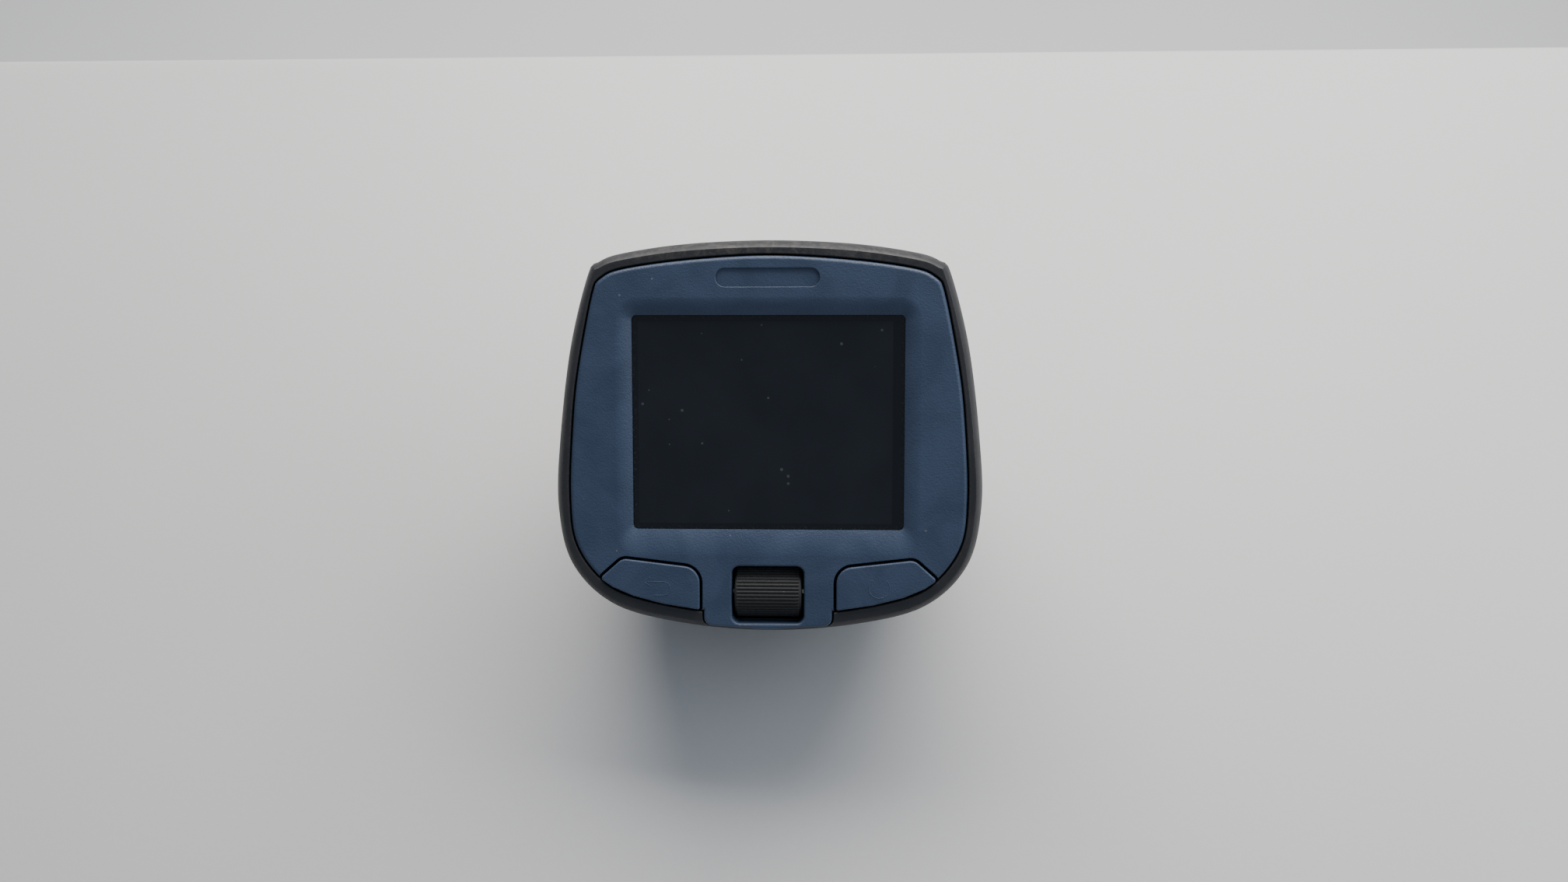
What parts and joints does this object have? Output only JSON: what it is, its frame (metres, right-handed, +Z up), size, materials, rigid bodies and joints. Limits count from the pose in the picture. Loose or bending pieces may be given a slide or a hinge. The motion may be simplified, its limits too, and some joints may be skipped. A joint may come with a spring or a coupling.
{
  "type": "cycling computer",
  "caption": "Palm-size egg-shaped cycling navigator with a colour display, thumb wheel, two keys, hinged battery door and a ball socket in its foot.",
  "frame": {"origin": "centre of the footprint's bounding box, on the surface that the foot pads stand on", "axes": "+Z up; the display faces the viewer at -Y and leans back by 33 degrees from level, so its normal points to -Y and +Z; +X to the viewer's right"},
  "size_m": [0.0718, 0.0714, 0.0644],
  "materials": {
    "blue_satin": "satin, fine moulded grain",
    "black_soft": "matt soft-touch black",
    "rubber": "matt black rubber",
    "window": "hard-coated, dark tint",
    "steel": "nickel plated",
    "board": "green solder mask",
    "white": "plain",
    "ceramic": "unglazed with silvered top",
    "brass": "gold plated",
    "cell": "printed wrap, plain copper and black"
  },
  "bodies": {
    "housing": {"front_bezel": "blue_satin", "display_lens": "window", "lens_gasket": "rubber", "lcd_panel": "window", "lcd_backlight": "white", "keypad_membrane": "rubber", "switch_left": "steel", "switch_right": "steel", "wheel_switch": "steel", "wheel_encoder": "black_soft", "wheel_board": "board", "rubber_surround": "black_soft", "main_gasket": "rubber", "board_screw_1": "steel", "board_screw_2": "steel", "main_board": "board", "shield_can": "steel", "backup_cell": "steel", "patch_antenna": "ceramic", "card_slot": "steel", "memory_card": "black_soft", "usb_connector": "steel", "antenna_jack": "brass", "battery_tray": "black_soft", "battery_upper": "cell", "battery_lower": "cell", "battery_spring_upper": "steel", "battery_spring_lower": "steel", "contact_left": "steel", "contact_right": "steel", "speaker_frame": "black_soft", "speaker_cone": "white", "rear_shell": "black_soft", "foot_pad_1": "rubber", "foot_pad_2": "rubber", "foot_pad_3": "rubber", "foot_pad_4": "rubber", "ball_socket": "black_soft", "case_screw_left": "steel", "case_screw_right": "steel", "hinge_pin": "steel"},
    "back_button": {"back_button": "blue_satin"},
    "power_button": {"power_button": "blue_satin"},
    "wheel_carrier": {"wheel_carrier": "black_soft"},
    "thumb_wheel": {"thumb_wheel": "rubber", "wheel_axle": "steel"},
    "battery_door": {"battery_door": "black_soft"},
    "door_stud": {"door_stud": "steel"},
    "port_cover": {"port_cover": "rubber"}
  },
  "joints": [
    {"name": "back_button_press", "type": "slide", "parent": "housing", "child": "back_button", "axis": [0, 0.5446, -0.8387], "range_m": [0, 0.0006], "stiffness_N_per_m": 400, "springref_m": -0.001},
    {"name": "power_button_press", "type": "slide", "parent": "housing", "child": "power_button", "axis": [0, 0.5446, -0.8387], "range_m": [0, 0.0006], "stiffness_N_per_m": 400, "springref_m": -0.001},
    {"name": "wheel_press", "type": "slide", "parent": "housing", "child": "wheel_carrier", "axis": [0, 0.5446, -0.8387], "range_m": [0, 0.0006], "stiffness_N_per_m": 400, "springref_m": -0.001},
    {"name": "wheel_spin", "type": "hinge", "parent": "wheel_carrier", "child": "thumb_wheel", "pos_m": [0, -0.02857, 0.03007], "axis": [1, 0, 0], "continuous": true},
    {"name": "battery_door_hinge", "type": "hinge", "parent": "housing", "child": "battery_door", "pos_m": [0, 0.03251, 0.04165], "axis": [1, 0, 0], "range_deg": [0, 95]},
    {"name": "door_stud_turn", "type": "hinge", "parent": "battery_door", "child": "door_stud", "pos_m": [0, 0.03349, 0.0153], "axis": [0, 1, 0], "range_deg": [0, 90]},
    {"name": "port_cover_flap", "type": "hinge", "parent": "housing", "child": "port_cover", "pos_m": [0.036, -0.00142, 0.03214], "axis": [0, 0.8387, 0.5446], "range_deg": [0, 110]}
  ]
}
